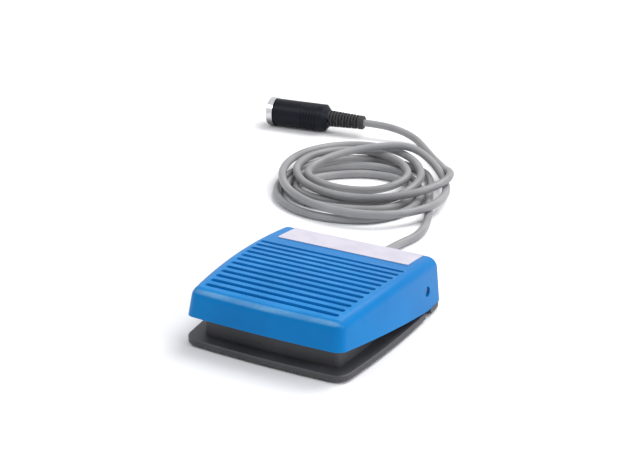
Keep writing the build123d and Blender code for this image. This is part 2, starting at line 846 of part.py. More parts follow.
def make_clamp_screws():
    """Two screws that hold the clamp bar."""
    seat_z = clamp_post_top_z + clamp_clearance + clamp_bar_thickness
    length = clamp_bar_thickness + clamp_clearance + clamp_screw_bite
    screw = slotted_screw(clamp_screw_r, clamp_screw_head_r, clamp_screw_head_height, length)
    return [Pos(x, clamp_y, seat_z) * screw for x in (-clamp_screw_x, clamp_screw_x)]


def route(name, points):
    """Path of straight runs joined by the largest tangent arcs that they have room for."""
    corners = [Vector(*point) for point in points]
    radii = []
    for before, here, after in zip(corners, corners[1:], corners[2:]):
        run_in = here - before
        run_out = after - here
        turn = math.radians(run_in.get_angle(run_out))
        radii.append(0.45 * min(run_in.length, run_out.length) / math.tan(turn / 2))
    path = FilletPolyline(*corners, radius=radii)
    print(name, "length", round(path.length, 1), "radii", [round(radius, 1) for radius in radii])
    return path


def tube(name, points, radius):
    """Round tube along a route."""
    path = route(name, points)
    section = Plane(origin=path @ 0, z_dir=path % 0) * Circle(radius)
    solid = sweep(section, path=path)
    expected = math.pi * radius**2 * path.length
    print(name, "volume", round(solid.volume, 1), "section times length", round(expected, 1))
    return solid


def make_inner_wires():
    """Three insulated conductors from the cord's end to the switch's terminals."""
    start_y = cord_inner_end_y - wire_end_gap
    terminal_z = switch_bottom_z - terminal_length / 2
    front_y, middle_y, rear_y = terminal_places()
    side_x = terminal_thickness / 2 + wire_end_gap
    left = [
        (-1.1, start_y, cord_axis_z - 0.7),
        (-1.9, start_y - 3.0, cord_axis_z - 1.8),
        (-2.3, start_y - 6.5, terminal_z),
        (-2.2, middle_y + 4.0, terminal_z),
        (-2.3, middle_y, terminal_z),
        (-side_x, middle_y, terminal_z),
    ]
    right = [
        (1.1, start_y, cord_axis_z - 0.7),
        (1.8, start_y - 3.0, cord_axis_z - 1.9),
        (2.1, start_y - 6.8, terminal_z),
        (2.2, middle_y, terminal_z - 0.1),
        (2.1, front_y + 4.0, terminal_z),
        (2.2, front_y, terminal_z),
        (side_x, front_y, terminal_z),
    ]
    rear_face_y = rear_y + terminal_width / 2 + wire_end_gap
    middle = [
        (0.0, start_y, cord_axis_z + 1.1),
        (0.1, start_y - 2.0, cord_axis_z + 0.6),
        (0.0, start_y - 3.8, terminal_z + 0.3),
        (0.0, rear_face_y, terminal_z),
    ]
    return [tube("wire", points, wire_r) for points in (left, middle, right)]


def make_cord_lead():
    """Cord from the gland down to the floor and back to the coil."""
    points = [
        (0, gland_end_y, cord_axis_z),
        (0, gland_end_y + cord_straight, cord_axis_z),
        (-2.2, gland_end_y + 20.4, 7.0),
        (-4.8, gland_end_y + 31.8, 3.6),
        (-4.4, gland_end_y + 43.4, cord_floor_z),
        (-1.0, gland_end_y + 55.6, cord_floor_z),
        (-2.0, gland_end_y + 68.8, cord_floor_z),
        (-5.9, gland_end_y + 81.6, cord_floor_z),
        (-10.8, gland_end_y + 94.4, cord_floor_z),
    ]
    return tube("cord lead", points, cord_r)


def make_cord_coil():
    """Outer shape of the loose turns that lie on the floor."""
    outline = Ellipse(coil_outer_a, coil_outer_b) - Ellipse(coil_inner_a, coil_inner_b)
    place = Pos(coil_x, coil_y, coil_base_z) * Rot(0, 0, coil_tilt)
    coil = extrude(outline, coil_height)
    coil = fillet(coil.faces().sort_by(Axis.Z)[-1].edges(), coil_edge_r)
    return place * coil


def make_plug_lead():
    """Cord from the coil up into the plug's boot."""
    heading = math.radians(plug_heading)
    points = [
        (plug_x, plug_y, plug_axis_z),
        (
            plug_x - cord_straight * math.cos(heading),
            plug_y - cord_straight * math.sin(heading),
            plug_axis_z,
        ),
        (-91.5, gland_end_y + 206.8, 8.9),
        (-82.0, gland_end_y + 207.6, 6.9),
        (-73.0, gland_end_y + 206.3, 4.3),
        (-64.6, gland_end_y + 199.6, 2.7),
        (-54.8, gland_end_y + 188.3, cord_floor_z),
        (-44.0, gland_end_y + 176.4, cord_floor_z),
        (-32.6, gland_end_y + 164.0, 3.6),
        (-24.9, gland_end_y + 150.3, 8.2),
    ]
    return tube("plug lead", points, cord_r)


def turned_on_plug(points):
    """Solid turned about the plug's axis from points along it and out from it."""
    section = make_face(Polyline(*points, close=True))
    return revolve(section, axis=Axis.X)


def on_plug(solid):
    """Moves a solid from the plug's own axis along X to where the plug lies."""
    return Pos(plug_x, plug_y, plug_axis_z) * Rot(0, 0, plug_heading) * solid


def make_plug_boot():
    """Flexible boot with ribs that grow towards the barrel, each split in two."""
    points = [
        (0, 0),
        (0, boot_tip_r - boot_tip_chamfer),
        (boot_tip_chamfer, boot_tip_r),
        (boot_collar_length, boot_tip_r),
    ]
    pitch = (boot_length - boot_collar_length) / boot_rib_count
    slope = (boot_root_r - boot_tip_r) / (boot_length - boot_collar_length)
    slots = []
    for index in range(boot_rib_count):
        gap_start = boot_collar_length + pitch * index
        rib_start = gap_start + pitch * boot_gap_share
        rib_end = gap_start + pitch
        rib_r = boot_tip_r + slope * (rib_end - boot_collar_length)
        floor_r = rib_r - boot_rib_depth
        points.append((gap_start, floor_r))
        points.append((rib_start, floor_r))
        points.append((rib_start + pitch * boot_flank_share, rib_r))
        points.append((rib_end, rib_r))
        slot = Box(rib_end - rib_start, boot_slot_width, 2 * boot_rib_depth)
        for side in (-1, 1):
            placed = Pos((rib_start + rib_end) / 2, 0, side * (floor_r + boot_rib_depth)) * slot
            slots.append(Rot(90 * (index % 2), 0, 0) * placed)
    points.append((boot_length, 0))
    boot = turned_on_plug(points)
    for slot in slots:
        boot -= slot
    return on_plug(boot)


def make_plug_barrel():
    """Moulded barrel with a shoulder, grip rings and a socket for the metal shell."""
    shoulder_x = boot_length + barrel_shoulder_length
    points = [(boot_length, 0), (boot_length, barrel_neck_r), (shoulder_x, barrel_r)]
    for index in range(grip_ring_count):
        start = shoulder_x + grip_ring_start + index * grip_ring_pitch
        middle = start + grip_ring_width / 2
        points.append((start, barrel_r))
        points.append((middle, barrel_r - grip_ring_depth))
        points.append((start + grip_ring_width, barrel_r))
    socket_x = barrel_end_x - shell_seat_depth
    socket_r = shell_r + shell_fit
    points.append((barrel_end_x - barrel_end_r, barrel_r))
    points.append((barrel_end_x, barrel_r - barrel_end_r))
    points.append((barrel_end_x, socket_r))
    points.append((socket_x, socket_r))
    points.append((socket_x, 0))
    return on_plug(turned_on_plug(points))


def make_plug_shell():
    """Bright metal shell with a rim that stands out past the barrel."""
    start = barrel_end_x - shell_seat_depth + shell_fit
    rim_start = barrel_end_x + shell_fit
    rim_end = rim_start + shell_rim_length
    bore_r = shell_r - shell_wall
    points = [
        (start, bore_r),
        (start, shell_r),
        (rim_start, shell_r),
        (rim_start, shell_rim_r),
        (rim_end - shell_rim_chamfer, shell_rim_r),
        (rim_end, shell_rim_r - shell_rim_chamfer),
        (rim_end, shell_rim_r - shell_wall),
        (rim_start + shell_wall, shell_rim_r - shell_wall),
        (rim_start + shell_wall, bore_r),
    ]
    return on_plug(turned_on_plug(points))


def contact_places():
    """Centres of the plug's contacts, spread over an arc."""
    places = []
    for index in range(contact_count):
        angle = math.radians(contact_arc * index / (contact_count - 1))
        places.append((contact_circle_r * math.cos(angle), contact_circle_r * math.sin(angle)))
    return places


def contact_rod(y, z, radius):
    """Rod along the plug's axis at one contact's place."""
    face_x = barrel_end_x - insert_inset
    return cylinder_x(face_x - contact_root, face_x + contact_reach, y, z, radius)


def make_plug_insert():
    """Insulating disc that holds the contacts in the shell."""
    face_x = barrel_end_x - insert_inset
    insert_r = shell_r - shell_wall - shell_fit
    insert = cylinder_x(face_x - insert_thickness, face_x, 0, 0, insert_r)
    for y, z in contact_places():
        insert -= contact_rod(y, z, contact_r + shell_fit)
    return on_plug(insert)


def make_plug_contacts():
    """Round contacts with blunt ends."""
    contacts = []
    for y, z in contact_places():
        rod = contact_rod(y, z, contact_r)
        tip_edges = rod.edges().group_by(Axis.X)[-1]
        contacts.append(on_plug(fillet(tip_edges, contact_r / 2)))
    return contacts


parts = {
    "base_housing": make_base_housing(),
    "rubber_feet": make_rubber_feet(),
    "hinge_pin_left": make_hinge_pin(-1),
    "hinge_pin_right": make_hinge_pin(1),
    "pedal_shell": make_pedal_shell(),
    "label_plate": make_label_plate(),
    "return_springs": make_return_springs(),
    "switch_case": make_switch_case(),
    "switch_cover": make_switch_cover(),
    "switch_terminals": make_switch_terminals(),
    "switch_screws": make_switch_screws(),
    "lever_pin": make_lever_pin(),
    "switch_lever": make_switch_lever(),
    "switch_plunger": make_switch_plunger(),
    "cord_gland": make_cord_gland(),
    "cord_inner": make_cord_inner(),
    "cord_clamp": make_cord_clamp(),
    "clamp_screws": make_clamp_screws(),
    "inner_wires": make_inner_wires(),
    "cord_lead": make_cord_lead(),
    "cord_coil": make_cord_coil(),
    "plug_lead": make_plug_lead(),
    "plug_boot": make_plug_boot(),
    "plug_barrel": make_plug_barrel(),
    "plug_shell": make_plug_shell(),
    "plug_insert": make_plug_insert(),
    "plug_contacts": make_plug_contacts(),
}

os.makedirs("parts", exist_ok=True)
for name, shape in parts.items():
    if isinstance(shape, list):
        shape = Compound(children=shape)
    export_step(shape, f"parts/{name}.step")
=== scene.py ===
import math

import bmesh
import bpy
from mathutils import Matrix, Vector


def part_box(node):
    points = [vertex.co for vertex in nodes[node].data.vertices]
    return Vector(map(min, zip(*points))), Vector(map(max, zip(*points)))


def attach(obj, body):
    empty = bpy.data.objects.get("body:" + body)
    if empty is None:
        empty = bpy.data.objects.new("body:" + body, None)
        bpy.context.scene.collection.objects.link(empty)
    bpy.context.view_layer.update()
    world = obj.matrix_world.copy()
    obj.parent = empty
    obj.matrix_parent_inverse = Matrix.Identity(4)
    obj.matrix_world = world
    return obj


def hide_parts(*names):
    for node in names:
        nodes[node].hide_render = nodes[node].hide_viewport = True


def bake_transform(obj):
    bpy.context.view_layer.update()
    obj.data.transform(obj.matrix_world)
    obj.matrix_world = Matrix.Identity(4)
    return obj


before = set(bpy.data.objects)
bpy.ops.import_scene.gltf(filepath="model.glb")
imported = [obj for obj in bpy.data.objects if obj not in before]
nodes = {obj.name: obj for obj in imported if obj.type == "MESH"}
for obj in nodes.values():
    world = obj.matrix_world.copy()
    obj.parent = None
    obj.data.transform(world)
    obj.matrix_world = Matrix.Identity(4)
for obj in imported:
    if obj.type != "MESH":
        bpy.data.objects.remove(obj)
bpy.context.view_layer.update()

# Foot pedal switch: finishes, cord, floor, light and camera around the solid model.
# Metres, in the solid model's own frame: +X across the pedal, the raised front edge faces -Y.

MM = 0.001

# Camera
CAMERA_AZIMUTH = 28.89
CAMERA_ELEVATION = 22.63
CAMERA_DISTANCE = 0.78135
CAMERA_TARGET = (-0.03201, 0.06568, 0.01807)
CAMERA_LENS = 81.56
CAMERA_SENSOR = 36.0

# Cord
CORD_R = 2.4
CORD_EXIT = (0.0, 65.6, 9.6)
CORD_LEAD = [
    CORD_EXIT,
    (0.0, 74.6, 9.6),
    (-2.2, 86.0, 7.0),
    (-4.8, 97.4, 3.6),
    (-4.4, 109.0, 2.5),
    (-1.0, 121.2, 2.5),
    (-2.0, 134.4, 2.5),
    (-5.9, 147.2, 2.5),
    (-10.8, 160.0, 2.5),
    (-17.2, 173.5, 2.5),
]
PLUG_LEAD = [
    (-24.9, 215.9, 8.2),
    (-32.6, 229.6, 3.6),
    (-44.0, 242.0, 2.5),
    (-54.8, 253.9, 2.5),
    (-64.6, 265.2, 2.7),
    (-73.0, 271.9, 4.3),
    (-82.0, 273.2, 6.9),
    (-91.5, 272.4, 8.9),
    (-101.65, 270.96, 9.85),
    (-110.6, 270.0, 9.85),
]

# The coil's turns, each by its right, back, left and front: across, away and up from the
# coil's middle. The turns fan out on the floor, and the last three lie over the first three.
COIL_MIDDLE = (-65.5, 179.6)
COIL_HEADING = 28.89
COIL_POINTS_A_QUARTER = 4
COIL_TURNS = [
    ((48.0, -6.0, 2.5), (0.0, 50.0, 2.5), (-53.0, -8.0, 2.5), (-4.0, -57.0, 2.5)),
    ((36.5, -12.0, 2.5), (0.0, 37.0, 2.5), (-47.0, -3.0, 2.5), (4.0, -41.0, 2.5)),
    ((31.5, -8.0, 2.5), (0.0, 21.0, 2.5), (-41.0, -2.0, 2.5), (2.0, -30.0, 2.5)),
    ((37.5, 5.0, 9.2), (-4.0, 65.0, 6.8), (-50.0, 2.0, 9.0), (8.0, -63.0, 7.9)),
    ((51.5, -13.0, 6.6), (25.0, 43.0, 14.0), (-34.0, 10.0, 7.4), (2.0, -13.0, 4.0)),
    ((29.5, 8.0, 7.8), (-8.0, 53.0, 7.4), (-41.0, 15.0, 7.4), (4.0, -35.0, 7.4)),
]
COIL_LEAVES = (54.5, -6.0, 12.8)

# Return springs, in millimetres, as in the solid model
SPRING_MEAN_R = 3.8
SPRING_WIRE_R = 0.55
SPRING_TURNS = 6.5
SPRING_STEPS = 36
SPRING_SIDES = 10

# Pedal top, in millimetres, for the finish that follows it
CROWN_MIDDLE_Y = -11.6
CROWN_TOP_Z = 31.1
CROWN_R = 486.0
GROOVE_DEPTH = 1.2
GROOVE_FLOOR_END = (1.3, 1.6)
CREST_DEPTHS = (0.02, 0.35)
GROOVE_START = 0.3
TREAD_REAR_Y = (19.5, 22.0)
TREAD_SIDE_X = (40.0, 42.5)
# The front rim's upper bend, where a painted highlight runs along the front edge
FRONT_EDGE_Y = (-46.0, -44.0)
FRONT_BEND_TOP = (0.1, 0.7)
FRONT_BEND_FOOT = (1.2, 2.6)

# Heights on the plug's ring, in millimetres, between which its painted dark reflection fades out
RING_DARK_REFLECTION_Z = (3.5, 9.5)

# Edges between the three conductors, in millimetres across
LEFT_WIRE_X = (-0.8, -0.6)
RIGHT_WIRE_X = (0.5, 0.7)

# Room, in metres and watts
WORLD_STRENGTH = 0.44
WORLD_COLOUR = (0.94, 0.95, 0.97, 1.0)
WHITE = (1.0, 1.0, 1.0, 1.0)
FLOOR_HALF = 0.9
FLOOR_CLOUD_MM = 900.0
# Lamps: name, place, target, width, power, colour
LAMPS = [
    ("key", (0.3, 0.8, 1.2), (-0.02, 0.1, 0.0), 0.9, 16.0, (1.0, 0.99, 0.98)),
    ("side", (1.1, 0.0, 0.7), (0.0, 0.0, 0.0), 0.7, 7.0, (0.99, 0.99, 1.0)),
    ("crest", (-0.5, -0.48, 0.9), (0.0, 0.0, 0.0), 0.45, 3.0, (0.98, 0.99, 1.0)),
]


def shade(red, green, blue):
    """Linear colour from the 0 to 255 values of a colour chart."""
    channels = []
    for value in (red, green, blue):
        value /= 255.0
        channels.append(value / 12.92 if value <= 0.04045 else ((value + 0.055) / 1.055) ** 2.4)
    return (*channels, 1.0)


class Wire:
    """A shader socket that takes part in Python sums."""

    def __init__(self, sheet, socket):
        self.sheet = sheet
        self.socket = socket

    def sum_with(self, operation, first, second):
        return self.sheet.node("ShaderNodeMath", {"operation": operation}, {0: first, 1: second})

    def __add__(self, other):
        return self.sum_with("ADD", self, other)

    def __radd__(self, other):
        return self.sum_with("ADD", other, self)

    def __sub__(self, other):
        return self.sum_with("SUBTRACT", self, other)

    def __rsub__(self, other):
        return self.sum_with("SUBTRACT", other, self)

    def __mul__(self, other):
        return self.sum_with("MULTIPLY", self, other)

    def __rmul__(self, other):
        return self.sum_with("MULTIPLY", other, self)

    def __abs__(self):
        return self.sheet.node("ShaderNodeMath", {"operation": "ABSOLUTE"}, {0: self})

    def root(self):
        return self.sum_with("POWER", self, 0.5)

    def larger(self, other):
        return self.sum_with("MAXIMUM", self, other)

    def ramp_mm(self, ends):
        """A ramp between two lengths in millimetres."""
        return self.ramp(ends[0] * MM, ends[1] * MM)

    def ramp(self, low, high):
        """0 at low and below, 1 at high and above, smooth between."""
        return self.sheet.node(
            "ShaderNodeMapRange",
            {"interpolation_type": "SMOOTHSTEP", "clamp": True},
            {"Value": self, "From Min": low, "From Max": high},
        )


class Sheet:
    """One node tree and the means to add nodes to it."""

    def __init__(self, tree):
        self.tree = tree
        tree.nodes.clear()

    def node(self, kind, settings, sockets, output=0):
        """Adds a node: its settings are set first, then its sockets get values or wires."""
        made = self.tree.nodes.new(kind)
        for name, value in settings.items():
            setattr(made, name, value)
        for name, value in sockets.items():
            socket = made.inputs[name]
            if isinstance(value, Wire):
                self.tree.links.new(value.socket, socket)
            else:
                socket.default_value = value
        return Wire(self, made.outputs[output])

    def place(self):
        """Position on the piece, in metres, as one vector."""
        return self.node("ShaderNodeTexCoord", {}, {}, "Object")

    def split(self, vector):
        """The three parts of a vector."""
        parts = self.node("ShaderNodeSeparateXYZ", {}, {"Vector": vector})
        return [Wire(self, output) for output in parts.socket.node.outputs]

    def stretched(self, vector, across, along, up):
        """A position scaled on each axis, for marks that run one way."""
        scale = {"operation": "MULTIPLY"}
        return self.node("ShaderNodeVectorMath", scale, {0: vector, 1: (across, along, up)})

    def noise(self, vector, size_mm, detail=3.0, roughness=0.55):
        """Soft cloudy value from 0 to 1 whose patches are about size_mm across."""
        sockets = {
            "Vector": vector,
            "Scale": 1.0 / (size_mm * MM),
            "Detail": detail,
            "Roughness": roughness,
        }
        return self.node("ShaderNodeTexNoise", {}, sockets)

    def cells(self, vector, size_mm):
        """Distance to the nearest of scattered points about size_mm apart."""
        sockets = {"Vector": vector, "Scale": 1.0 / (size_mm * MM)}
        return self.node("ShaderNodeTexVoronoi", {}, sockets)

    def blend(self, share, first, second):
        """Colour that goes from first to second as share goes from 0 to 1."""
        return self.node(
            "ShaderNodeMix",
            {"data_type": "RGBA", "clamp_factor": True},
            {0: share, 6: first, 7: second},
            2,
        )

    def relief(self, height, depth_mm):
        """Normal of small relief, depth_mm deep where the height goes from 0 to 1."""
        sockets = {"Height": height, "Distance": depth_mm * MM, "Strength": 1.0}
        return self.node("ShaderNodeBump", {}, sockets)


class Finish(Sheet):
    """A material with one surface shader."""

    def __init__(self, name, **constants):
        self.material = bpy.data.materials.new(name)
        self.material.use_nodes = True
        super().__init__(self.material.node_tree)
        self.surface = self.tree.nodes.new("ShaderNodeBsdfPrincipled")
        output = self.tree.nodes.new("ShaderNodeOutputMaterial")
        self.tree.links.new(self.surface.outputs[0], output.inputs[0])
        for socket, value in constants.items():
            self.surface.inputs[socket.replace("_", " ")].default_value = value

    def set(self, socket, wire):
        self.tree.links.new(wire.socket, self.surface.inputs[socket])

    def dress(self, *objects):
        """Puts this material on objects in place of what they have."""
        for item in objects:
            item.data.materials.clear()
            item.data.materials.append(self.material)


def moulded(name, colour, deep, pale, rough, grain_mm, grain_depth_mm, **constants):
    """Moulded plastic: slight cloudiness, fine grain, faint rubs and a little dust."""
    finish = Finish(name, **constants)
    place = finish.place()
    cloud = finish.noise(place, 26.0)
    body = finish.blend(cloud.ramp(0.3, 0.7), deep, colour)
    rubs = finish.noise(finish.stretched(place, 0.35, 1.0, 1.0), 1.6, 5.0, 0.7).ramp(0.62, 0.8)
    patches = finish.noise(place, 14.0, 2.0).ramp(0.5, 0.75)
    finish.set("Base Color", finish.blend(rubs * patches * 0.22, body, pale))
    grain = finish.noise(place, grain_mm, 2.0, 0.5)
    finish.set("Roughness", rough + 0.1 * (cloud - 0.5) + 0.14 * rubs * patches)
    finish.set("Normal", finish.relief(grain, grain_depth_mm))
    return finish


def pedal_blue():
    """Satin blue plastic: rib crests paler, partly from shoe wear and partly a painted highlight; a
    painted highlight along the front edge; painted shade in the grooves.
    """
    finish = Finish("pedal_blue", IOR=1.5, Specular_IOR_Level=0.13)
    place = finish.place()
    across, along, up = finish.split(place)
    offset = along - CROWN_MIDDLE_Y * MM
    crown_rise = (CROWN_TOP_Z - CROWN_R) * MM
    crown = (CROWN_R * CROWN_R * MM * MM - offset * offset).root() + crown_rise
    depth = crown - up
    crest = 1.0 - depth.ramp_mm(CREST_DEPTHS)
    groove_wall = depth.ramp_mm((GROOVE_START, GROOVE_DEPTH))
    groove = groove_wall * (1.0 - depth.ramp_mm(GROOVE_FLOOR_END))
    between_sides = 1.0 - abs(across).ramp_mm(TREAD_SIDE_X)
    tread = (1.0 - along.ramp_mm(TREAD_REAR_Y)) * between_sides
    cloud = finish.noise(place, 30.0)
    body = finish.blend(cloud.ramp(0.3, 0.7), shade(0, 112, 181), shade(1, 121, 191))
    patch_place = finish.stretched(place, 0.5, 1.0, 1.0)
    wear_and_sheen_patches = finish.noise(patch_place, 9.0, 4.0, 0.65).ramp(0.4, 0.75)
    # Rib crests paler: partly shoe wear, partly a painted highlight
    worn_and_highlighted = finish.blend(crest * tread * (0.12 + 0.2 * wear_and_sheen_patches), body, shade(78, 164, 232))
    # Painted shade: darker in the grooves
    groove_shaded = finish.blend(groove * tread * 0.16, worn_and_highlighted, shade(0, 74, 142))
    drawn_out = finish.stretched(place, 0.08, 1.0, 1.0)
    scratch = finish.noise(drawn_out, 0.9, 4.0, 0.8).ramp(0.66, 0.74)
    # Painted highlight: a pale strip along the upper bend of the front edge
    front = 1.0 - along.ramp_mm(FRONT_EDGE_Y)
    front_highlight = depth.ramp_mm(FRONT_BEND_TOP) * (1.0 - depth.ramp_mm(FRONT_BEND_FOOT)) * front
    front_highlighted = finish.blend(front_highlight * (0.3 + 0.35 * wear_and_sheen_patches), groove_shaded, shade(132, 186, 226))
    scratched = finish.blend(scratch * crest * 0.12, front_highlighted, shade(150, 195, 238))
    finish.set("Base Color", scratched)
    shine = 0.34 + 0.1 * (cloud - 0.5) - 0.06 * crest * wear_and_sheen_patches
    finish.set("Roughness", shine + 0.12 * scratch + 0.16 * groove * tread)
    grain = finish.noise(place, 0.55, 2.0, 0.5)
    finish.set("Normal", finish.relief(grain, 0.01))
    return finish


def plate_film():
    """Satin pale film, faintly cloudy, a little grubby in patches."""
    finish = Finish("plate_film", IOR=1.48)
    place = finish.place()
    cloud = finish.noise(place, 12.0)
    film = finish.blend(cloud.ramp(0.3, 0.7), shade(190, 186, 200), shade(202, 198, 211))
    grime = finish.noise(place, 5.0, 5.0, 0.7).ramp(0.55, 0.8)
    finish.set("Base Color", finish.blend(grime * 0.3, film, shade(172, 168, 180)))
    finish.set("Roughness", 0.34 + 0.12 * cloud + 0.1 * grime)
    finish.set("Normal", finish.relief(finish.noise(place, 0.8, 2.0), 0.004))
    return finish


def base_black():
    """Black plastic with a fine spark-eroded grain and pale dust in it."""
    finish = Finish("base_black", IOR=1.5)
    place = finish.place()
    cloud = finish.noise(place, 22.0)
    body = finish.blend(cloud.ramp(0.3, 0.7), shade(56, 56, 59), shade(69, 69, 72))
    dust = finish.noise(place, 3.5, 6.0, 0.75).ramp(0.58, 0.8)
    finish.set("Base Color", finish.blend(dust * 0.2, body, shade(120, 118, 114)))
    pits = finish.cells(place, 0.5)
    finish.set("Roughness", 0.5 + 0.12 * dust + 0.1 * (cloud - 0.5))
    finish.set("Normal", finish.relief(pits, 0.02))
    return finish


def rubber(name, colour, pale):
    """Matt rubber with a dusty bloom and a fine skin texture."""
    finish = Finish(name, IOR=1.45)
    place = finish.place()
    bloom = finish.noise(place, 4.0, 5.0, 0.7).ramp(0.42, 0.75)
    finish.set("Base Color", finish.blend(bloom * 0.35, colour, pale))
    finish.set("Roughness", 0.62 + 0.2 * bloom)
    finish.set("Normal", finish.relief(finish.noise(place, 0.35, 3.0), 0.01))
    return finish


def drawn_metal(name, colour, dull, rough, stretch):
    """Bright metal with drawing marks one way and a thin haze."""
    finish = Finish(name, Metallic=1.0)
    place = finish.place()
    marks = finish.noise(finish.stretched(place, *stretch), 0.25, 3.0, 0.6)
    haze = finish.noise(place, 3.0, 4.0, 0.7).ramp(0.4, 0.8)
    finish.set("Base Color", finish.blend(haze * 0.5, colour, dull))
    finish.set("Roughness", rough + 0.14 * haze + 0.08 * (marks - 0.5))
    finish.set("Normal", finish.relief(marks, 0.002))
    return finish


def nickel():
    """Polished nickel, darker towards the floor side of the ring: a painted dark reflection."""
    finish = Finish("nickel", Metallic=1.0)
    place = finish.place()
    up = finish.split(place)[2]
    low = 1.0 - up.ramp_mm(RING_DARK_REFLECTION_Z)
    haze = finish.noise(place, 2.5, 4.0, 0.7).ramp(0.4, 0.8)
    bright = finish.blend(haze * 0.4, shade(206, 207, 210), shade(150, 150, 154))
    # Painted dark reflection on the ring's floor side
    finish.set("Base Color", finish.blend(low * 0.8, bright, shade(74, 74, 80)))
    finish.set("Roughness", 0.1 + 0.16 * haze + 0.15 * low)
    marks = finish.noise(finish.stretched(place, 0.15, 1.0, 1.0), 0.25, 3.0)
    finish.set("Normal", finish.relief(marks, 0.002))
    return finish


def pin_steel():
    """Dull grey steel of the hinge pins' ends."""
    finish = Finish("pin_steel", Metallic=0.35)
    place = finish.place()
    stain = finish.noise(place, 0.9, 4.0, 0.7).ramp(0.4, 0.75)
    finish.set("Base Color", finish.blend(stain * 0.6, shade(158, 160, 164), shade(98, 98, 100)))
    finish.set("Roughness", 0.42 + 0.2 * stain)
    finish.set("Normal", finish.relief(finish.noise(place, 0.3, 3.0), 0.004))
    return finish


def cord_grey():
    """Satin grey cord sheath, scuffed here and there, with a faint extruded texture."""
    finish = Finish("cord_grey", IOR=1.47)
    place = finish.place()
    cloud = finish.noise(place, 35.0)
    body = finish.blend(cloud.ramp(0.3, 0.7), shade(128, 128, 130), shade(148, 148, 150))
    scuff = finish.noise(place, 2.2, 6.0, 0.75).ramp(0.6, 0.78)
    finish.set("Base Color", finish.blend(scuff * 0.3, body, shade(112, 112, 118)))
    finish.set("Roughness", 0.42 + 0.1 * (cloud - 0.5) + 0.14 * scuff)
    finish.set("Normal", finish.relief(finish.noise(place, 0.9, 3.0), 0.012))
    return finish


def wire_sheath():
    """Three insulated conductors, told apart by where they lie."""
    finish = Finish("wire_sheath", IOR=1.47)
    place = finish.place()
    across = finish.split(place)[0]
    left = finish.blend(across.ramp_mm(LEFT_WIRE_X), shade(188, 34, 30), shade(40, 40, 42))
    all_three = finish.blend(across.ramp_mm(RIGHT_WIRE_X), left, shade(225, 222, 214))
    finish.set("Base Color", all_three)
    finish.set("Roughness", 0.35 + 0.2 * finish.noise(place, 1.5))
    return finish


def curve_through(name, points, radius):
    """Round cord along control points, all in millimetres.

    The points carry the cord's own radius and the bevel is 1, because Blender's box of a curve
    counts the points' radius.
    """
    line = bpy.data.curves.new(name, "CURVE")
    line.dimensions = "3D"
    line.resolution_u = 12
    line.bevel_depth = 1.0
    line.bevel_resolution = 6
    line.use_fill_caps = True
    spline = line.splines.new("NURBS")
    spline.points.add(len(points) - 1)
    for point, (x, y, z) in zip(spline.points, points):
        point.co = (x * MM, y * MM, z * MM, 1.0)
        point.radius = radius * MM
    spline.order_u = 3
    spline.use_endpoint_u = True
    piece = bpy.data.objects.new(name, line)
    bpy.context.scene.collection.objects.link(piece)
    return piece


def return_springs():
    """Both return springs as one mesh."""
    low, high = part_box("return_springs")
    side = high[0] - (SPRING_MEAN_R + SPRING_WIRE_R) * MM
    middle_y = (low[1] + high[1]) / 2
    first_z = low[2] + SPRING_WIRE_R * MM
    rise = high[2] - SPRING_WIRE_R * MM - first_z
    steps = round(SPRING_TURNS * SPRING_STEPS)
    body = bmesh.new()
    for centre_x in (-side, side):
        rings = []
        for step in range(steps + 1):
            angle = 2 * math.pi * step / SPRING_STEPS
            out = Vector((math.cos(angle), math.sin(angle), 0.0))
            pitch = rise / (SPRING_TURNS * 2 * math.pi * SPRING_MEAN_R * MM)
            along = Vector((-math.sin(angle), math.cos(angle), pitch)).normalized()
            over = along.cross(out)
            axis_point = Vector((centre_x, middle_y, first_z + rise * step / steps))
            middle = axis_point + out * SPRING_MEAN_R * MM
            ring = []
            for spoke in range(SPRING_SIDES):
                turn = 2 * math.pi * spoke / SPRING_SIDES
                offset = out * math.cos(turn) + over * math.sin(turn)
                ring.append(body.verts.new(middle + offset * SPRING_WIRE_R * MM))
            rings.append(ring)
        for near, far in zip(rings, rings[1:]):
            for spoke in range(SPRING_SIDES):
                after = (spoke + 1) % SPRING_SIDES
                body.faces.new((near[spoke], near[after], far[after], far[spoke])).smooth = True
        body.faces.new(rings[0])
        body.faces.new(rings[-1])
    bmesh.ops.recalc_face_normals(body, faces=body.faces)
    mesh = bpy.data.meshes.new("pedal_springs")
    body.to_mesh(mesh)
    body.free()
    springs = bpy.data.objects.new("pedal_springs", mesh)
    bpy.context.scene.collection.objects.link(springs)
    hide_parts("return_springs")
    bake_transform(springs)
    return springs


def coil_points():
    """Control points of the coil's turns: quarter ellipses from each key place to the next."""
    keys = [key for turn in COIL_TURNS for key in turn] + [COIL_LEAVES]
    heading = math.radians(COIL_HEADING)
    places = []
    for index, (here, there) in enumerate(zip(keys, keys[1:])):
        for step in range(COIL_POINTS_A_QUARTER):
            angle = math.pi / 2 * step / COIL_POINTS_A_QUARTER
            left, gone = math.cos(angle), math.sin(angle)
            if index % 2 == 0:
                across = there[0] + (here[0] - there[0]) * left
                away = here[1] + (there[1] - here[1]) * gone
            else:
                across = here[0] + (there[0] - here[0]) * gone
                away = there[1] + (here[1] - there[1]) * left
            places.append((across, away, here[2] + (there[2] - here[2]) * gone**2))
    places.append(COIL_LEAVES)
    points = []
    for across, away, up in places:
        x = COIL_MIDDLE[0] + across * math.cos(heading) - away * math.sin(heading)
        y = COIL_MIDDLE[1] + across * math.sin(heading) + away * math.cos(heading)
        points.append((x, y, up))
    return points


